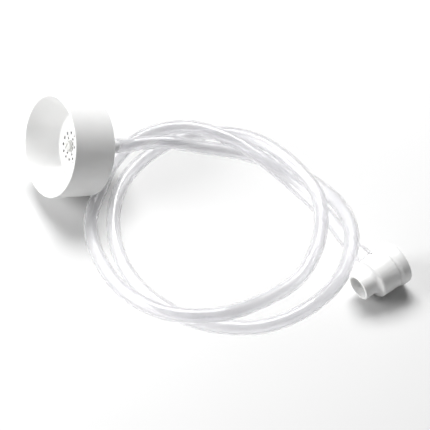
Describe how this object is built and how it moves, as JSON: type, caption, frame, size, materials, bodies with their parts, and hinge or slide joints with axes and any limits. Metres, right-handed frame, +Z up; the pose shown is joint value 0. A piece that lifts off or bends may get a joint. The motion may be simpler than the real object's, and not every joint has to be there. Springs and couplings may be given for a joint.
{
  "type": "drain cup and hose set",
  "caption": "Round drain cup with a screwed-in perforated strainer, a clear hose in loose loops, and a stepped push-fit pipe connector entered from its side.",
  "frame": {"origin": "on the floor, under the middle of the cup and the fittings screwed to it", "axes": "+Z up, +X from the cup towards the connector, +Y towards the back of the hose loops"},
  "size_m": [0.3139, 0.2157, 0.0913],
  "materials": {
    "white_plastic": "gloss",
    "soft_white": "satin",
    "black_rubber": "matte",
    "clear_hose": "clear gloss",
    "brass": "turned"
  },
  "bodies": {
    "cup": {"cup_shell": "white_plastic", "outlet_body": "white_plastic", "screw_insert": "brass", "flange_seal": "black_rubber", "back_seal": "black_rubber", "tail_seal": "black_rubber", "hose_tail": "white_plastic", "hose": "clear_hose", "connector_body": "white_plastic", "socket_seal": "black_rubber", "socket_collar": "white_plastic"},
    "strainer": {"strainer": "white_plastic", "screw_washer": "soft_white"},
    "strainer_screw": {"strainer_screw": "soft_white"},
    "back_washer": {"back_washer": "soft_white"},
    "back_nut": {"back_nut": "white_plastic"},
    "slip_washer": {"slip_washer": "soft_white"},
    "union_nut": {"union_nut": "white_plastic"}
  },
  "joints": [
    {"name": "strainer_lift", "type": "slide", "parent": "cup", "child": "strainer", "axis": [-0.7936, -0.422, 0.4384], "range_m": [0, 0.00399]},
    {"name": "strainer_screw_turn", "type": "hinge", "parent": "strainer", "child": "strainer_screw", "pos_m": [0.00921, 0.00506, 0.04038], "axis": [-0.7936, -0.422, 0.4384], "range_deg": [0, 1800]},
    {"name": "back_washer_travel", "type": "slide", "parent": "cup", "child": "back_washer", "axis": [0.7936, 0.422, -0.4384], "range_m": [0, 0.0016]},
    {"name": "back_nut_turn", "type": "hinge", "parent": "back_washer", "child": "back_nut", "pos_m": [0.00921, 0.00506, 0.04038], "axis": [0.7936, 0.422, -0.4384], "range_deg": [0, 315]},
    {"name": "slip_washer_travel", "type": "slide", "parent": "cup", "child": "slip_washer", "axis": [0.7936, 0.422, -0.4384], "range_m": [0, 0.00365]},
    {"name": "union_nut_turn", "type": "hinge", "parent": "slip_washer", "child": "union_nut", "pos_m": [0.01714, 0.00928, 0.036], "axis": [0.7936, 0.422, -0.4384], "range_deg": [0, 720]}
  ],
  "couplings": [
    {"joint": "strainer_screw_turn", "follows": "strainer_lift", "rad_per_m": 7854},
    {"joint": "back_washer_travel", "follows": "back_nut_turn", "m_per_rad": 0.0002887},
    {"joint": "slip_washer_travel", "follows": "union_nut_turn", "m_per_rad": 0.0002887}
  ]
}
